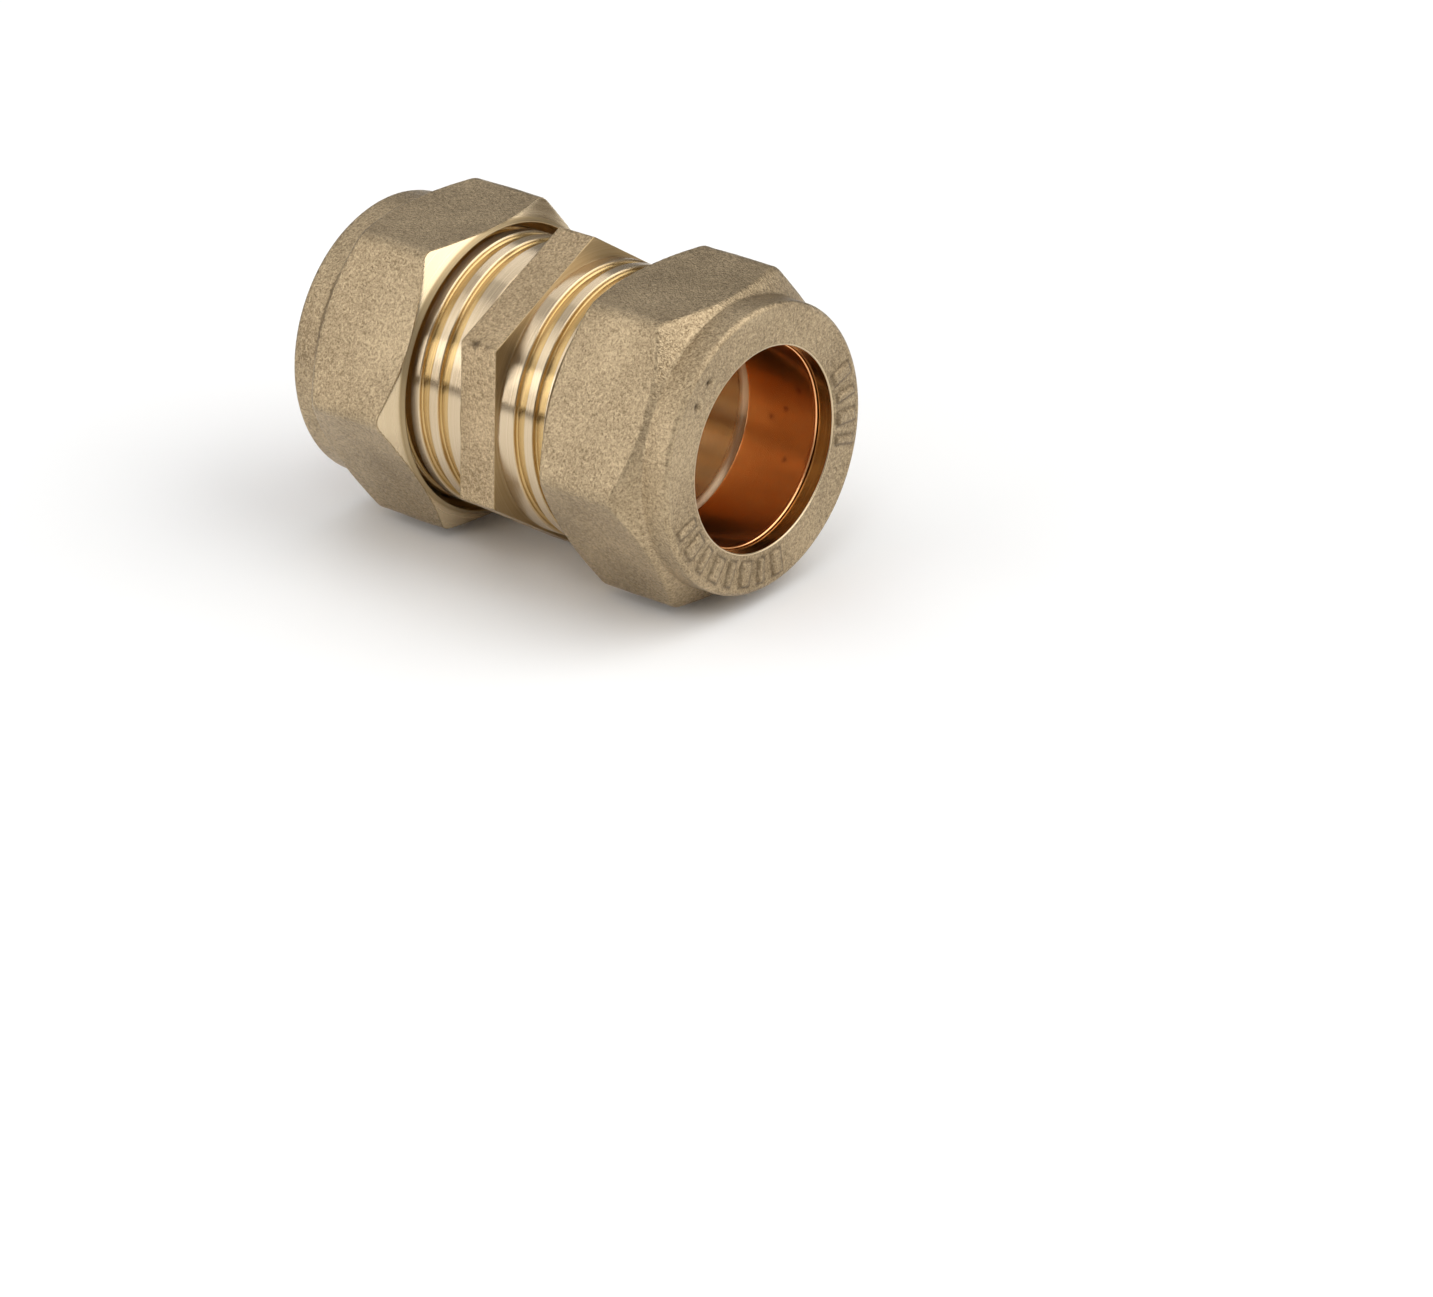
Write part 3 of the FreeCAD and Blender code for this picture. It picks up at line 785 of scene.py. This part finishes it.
# Where the viewer stands, and where the coupling's middle falls in the frame
VIEW_AZIMUTH = 42.7
VIEW_ELEVATION = 24.9
VIEW_ROLL = -3.48
VIEW_DISTANCE = 0.4333
VIEW_LENS = 148.2
SENSOR = 36.0
FRAME_WIDTH, FRAME_HEIGHT = 1433, 1297
MIDDLE_ACROSS, MIDDLE_DOWN = 0.4008, 0.2999     # shares of the frame's width and height
PANEL_DISTANCE = 0.6                            # metres from the coupling's middle to each light
FLOOR_HALF, FLOOR_STEPS = 1.5, 12               # metres, and squares along each side


def direction(azimuth, elevation):
    """Unit vector towards a place at that azimuth (0 is -Y, 90 is +X) and elevation."""
    a, e = math.radians(azimuth), math.radians(elevation)
    return Vector((math.sin(a) * math.cos(e), -math.cos(a) * math.cos(e), math.sin(e)))


def add_camera():
    back = direction(VIEW_AZIMUTH, VIEW_ELEVATION)
    right = Vector((0, 0, 1)).cross(back).normalized()
    up = back.cross(right)
    roll = math.radians(VIEW_ROLL)
    rolled_right = right * math.cos(roll) + up * math.sin(roll)
    rolled_up = back.cross(rolled_right)
    look = Matrix((rolled_right, rolled_up, back)).transposed()
    per_width = SENSOR / VIEW_LENS
    towards = Vector(((MIDDLE_ACROSS - 0.5) * per_width,
                      (0.5 - MIDDLE_DOWN) * per_width * FRAME_HEIGHT / FRAME_WIDTH, -1)).normalized()
    aim = towards.rotation_difference(Vector((0, 0, -1))).to_matrix()
    data = bpy.data.cameras.new("camera")
    data.lens = VIEW_LENS
    data.sensor_width = SENSOR
    data.clip_start, data.clip_end = 0.01, 20
    camera = bpy.data.objects.new("camera", data)
    camera.matrix_world = Matrix.Translation(back * VIEW_DISTANCE) @ (look @ aim).to_4x4()
    bpy.context.scene.collection.objects.link(camera)
    bpy.context.scene.camera = camera


def add_panel(name, azimuth, elevation, width, height, radiance):
    """A soft light panel that faces the coupling and looks equally bright all over."""
    data = bpy.data.lights.new(name, "AREA")
    data.shape = "RECTANGLE"
    data.size, data.size_y = width, height
    data.energy = radiance * math.pi * width * height
    panel = bpy.data.objects.new(name, data)
    towards = direction(azimuth, elevation)
    panel.location = towards * PANEL_DISTANCE
    panel.rotation_euler = towards.to_track_quat("Z", "Y").to_euler()
    bpy.context.scene.collection.objects.link(panel)


# Height (0 straight down, 0.5 level, 1 straight up) and colour of the surroundings
SKY = ((0.0, (1.0, 1.0, 1.0)), (0.49, (1.0, 1.0, 1.0)), (0.5, (0.15, 0.12, 0.09)),
       (0.58, (0.16, 0.135, 0.11)), (0.63, (0.3, 0.3, 0.3)), (0.92, (0.3, 0.3, 0.3)),
       (0.955, (1.45, 1.45, 1.45)), (1.0, (1.45, 1.45, 1.45)))


def add_world():
    """Plain surroundings: pale floor, a dark band over the horizon, a wide soft light overhead."""
    world = bpy.data.worlds.new("studio")
    world.use_nodes = True
    tree = world.node_tree
    place = tree.nodes.new("ShaderNodeTexCoord")
    apart = tree.nodes.new("ShaderNodeSeparateXYZ")
    ramp = tree.nodes.new("ShaderNodeValToRGB")
    height = tree.nodes.new("ShaderNodeMapRange")
    height.inputs["From Min"].default_value = -1.0
    tree.links.new(place.outputs["Generated"], apart.inputs[0])
    tree.links.new(apart.outputs["Z"], height.inputs["Value"])
    tree.links.new(height.outputs["Result"], ramp.inputs["Fac"])
    tree.links.new(ramp.outputs["Color"], tree.nodes["Background"].inputs["Color"])
    elements = ramp.color_ramp.elements
    elements[0].position, elements[0].color = SKY[0][0], (*SKY[0][1], 1)
    elements[1].position, elements[1].color = SKY[-1][0], (*SKY[-1][1], 1)
    for level, colour in SKY[1:-1]:
        elements.new(level).color = (*colour, 1)
    bpy.context.scene.world = world


def add_floor():
    line = np.linspace(-FLOOR_HALF, FLOOR_HALF, FLOOR_STEPS + 1)
    places = [(x, y, cad_box[0].z) for y in line for x in line]
    quads = []
    for row in range(FLOOR_STEPS):
        for column in range(FLOOR_STEPS):
            corner = row * len(line) + column
            quads.append((corner, corner + 1, corner + len(line) + 1, corner + len(line)))
    mesh = bpy.data.meshes.new("floor")
    mesh.from_pydata(places, [], quads)
    floor = bpy.data.objects.new("floor", mesh)
    bpy.context.scene.collection.objects.link(floor)
    mesh.materials.append(floor_material())


def add_lights():
    add_panel("left_front", -56, 33, 0.41, 0.41, 1.35)
    add_panel("left_rear", -123, 37, 0.3, 0.24, 1.2)
    add_panel("front_left", -20, 20, 0.28, 0.3, 3.0)
    add_panel("right_key", 118, 38, 0.74, 0.56, 2.2)
    add_panel("front_top", 34, 52, 0.16, 0.16, 3.0)


add_camera()
add_world()
add_floor()
add_lights()
nut_brass = brass("nut_brass", (0.24, 0.175, 0.1), (0.57, 0.44, 0.275), (0.56, 0.43, 0.26),
                  (0.74, 0.6, 0.4), (0.17, 0.36), (0.08, 0.2))
BODY_COLOURS = (0.26, 0.185, 0.1), (0.64, 0.485, 0.3), (0.58, 0.45, 0.29), (0.74, 0.6, 0.42)
body_forged = brass("body_forged", *BODY_COLOURS, (0.07, 0.15), (0.08, 0.2))
body_turned = brushed(brass("body_turned", *BODY_COLOURS, (0.2, 0.27), (0.2, 0.27)))
olive_copper = copper()
build_body(body_forged, body_turned)
for side in ("front", "rear"):
    build_nut(side, nut_brass)
    build_olive(side, olive_copper)
bpy.context.scene.view_settings.view_transform = "Standard"
